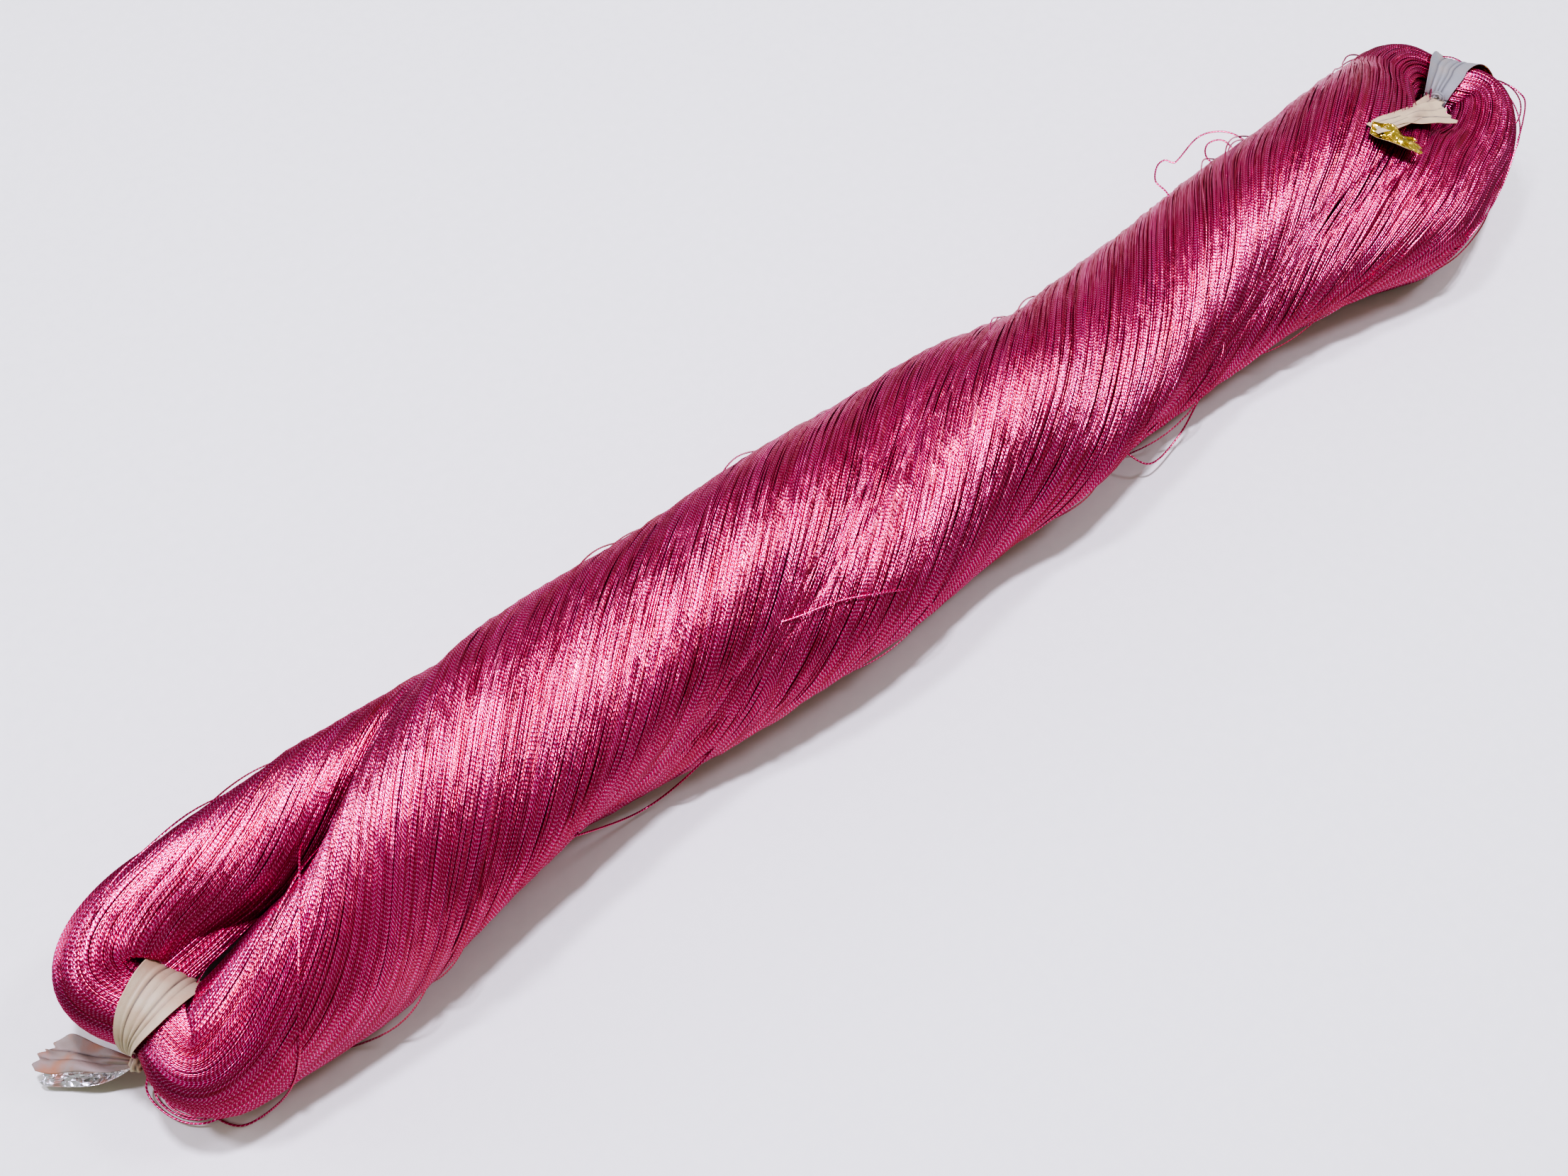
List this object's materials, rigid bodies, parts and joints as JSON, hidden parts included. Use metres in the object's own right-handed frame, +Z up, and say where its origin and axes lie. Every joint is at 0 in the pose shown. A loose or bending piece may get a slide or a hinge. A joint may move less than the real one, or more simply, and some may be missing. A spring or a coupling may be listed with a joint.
{
  "type": "twisted hank of metallic thread",
  "caption": "Skein of pink foil-wrapped thread twisted into a rope-like hank with an eye at either end, each end tied with a foil-backed paper strip, for embroidery and trimming.",
  "frame": {"origin": "middle of the bounding box's base, on the table that the hank lies on", "axes": "+X along the hank from the near end to the far end, +Z up from the table"},
  "size_m": [0.3472, 0.0488, 0.0402],
  "materials": {
    "thread": "bright metallic foil wrap",
    "near_strip": "matt paper, silver foil on its back",
    "far_strip": "matt paper, gold foil on its back"
  },
  "bodies": {
    "root": {"hank": "thread", "near_tie": "near_strip", "far_tie": "far_strip"}
  },
  "joints": []
}
